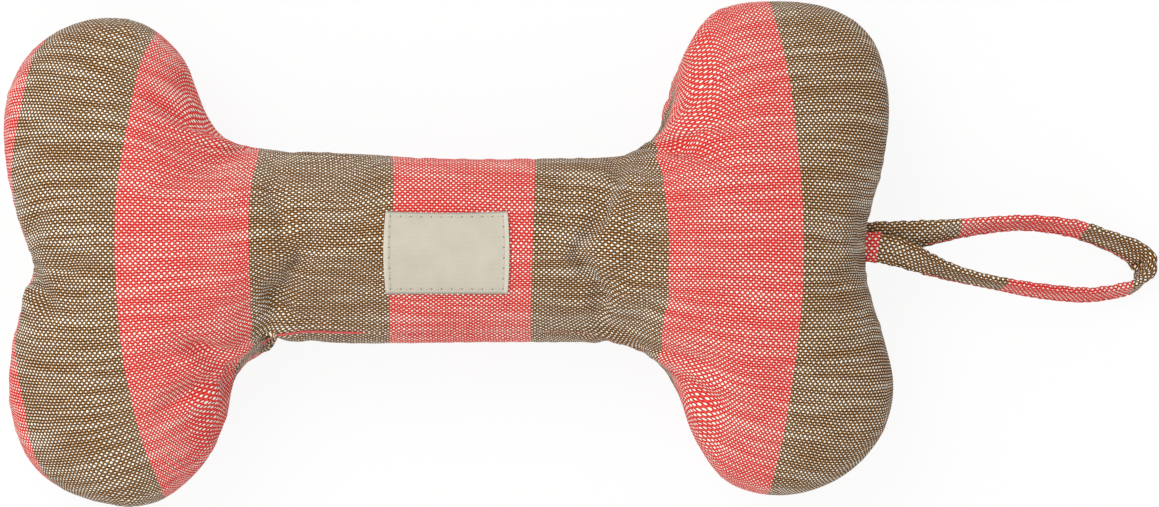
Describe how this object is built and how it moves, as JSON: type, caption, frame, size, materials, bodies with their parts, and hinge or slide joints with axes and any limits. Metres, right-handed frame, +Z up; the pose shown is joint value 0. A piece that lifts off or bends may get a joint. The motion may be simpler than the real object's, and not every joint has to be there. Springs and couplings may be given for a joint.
{
  "type": "stuffed bone dog toy",
  "caption": "Stuffed bone-shaped dog toy in striped woven cotton: front and back panels sewn round fibre filling and a squeaker, with a sewn cotton label and a hanging loop in the end seam.",
  "frame": {"origin": "middle of the toy's overall box in plan, with the hanging loop included, on the surface that the toy lies on", "axes": "+X along the bone towards the end with the hanging loop, +Z up out of the front with the label, +Y to the left of +X seen from above"},
  "size_m": [0.3882, 0.1682, 0.0656],
  "materials": {
    "striped_cotton": "matte",
    "fibre_filling": "matte",
    "seam_thread": "matte",
    "label_cotton": "matte",
    "label_thread": "matte",
    "squeaker_vinyl": "satin",
    "whistle_plastic": "satin",
    "reed_plastic": "satin"
  },
  "bodies": {
    "bone": {"front_panel": "striped_cotton", "back_panel": "striped_cotton", "filling_shaft_front": "fibre_filling", "filling_shaft_back": "fibre_filling", "filling_lobe_upper_left": "fibre_filling", "filling_lobe_lower_left": "fibre_filling", "filling_lobe_upper_right": "fibre_filling", "filling_lobe_lower_right": "fibre_filling", "squeaker_bulb": "squeaker_vinyl", "squeaker_whistle": "whistle_plastic", "squeaker_reed": "reed_plastic", "edge_seam_thread_front_run": "seam_thread", "edge_seam_thread_closing_run": "seam_thread", "closing_stitches": "seam_thread", "label": "label_cotton", "label_stitching": "label_thread", "loop_sewn_end_front": "striped_cotton", "loop_sewn_end_back": "striped_cotton"},
    "neck": {"loop_neck": "striped_cotton"},
    "loop": {"hanging_loop": "striped_cotton", "loop_edge_thread": "seam_thread"}
  },
  "joints": [
    {"name": "loop_lift", "type": "hinge", "parent": "bone", "child": "neck", "pos_m": [0.09685, 0.00391, 0.03255], "axis": [0, -1, 0], "range_deg": [-60, 95]},
    {"name": "loop_sway", "type": "hinge", "parent": "neck", "child": "loop", "pos_m": [0.10621, 0.00391, 0.02964], "axis": [0.2967, 0, 0.955], "range_deg": [-30, 30]}
  ]
}
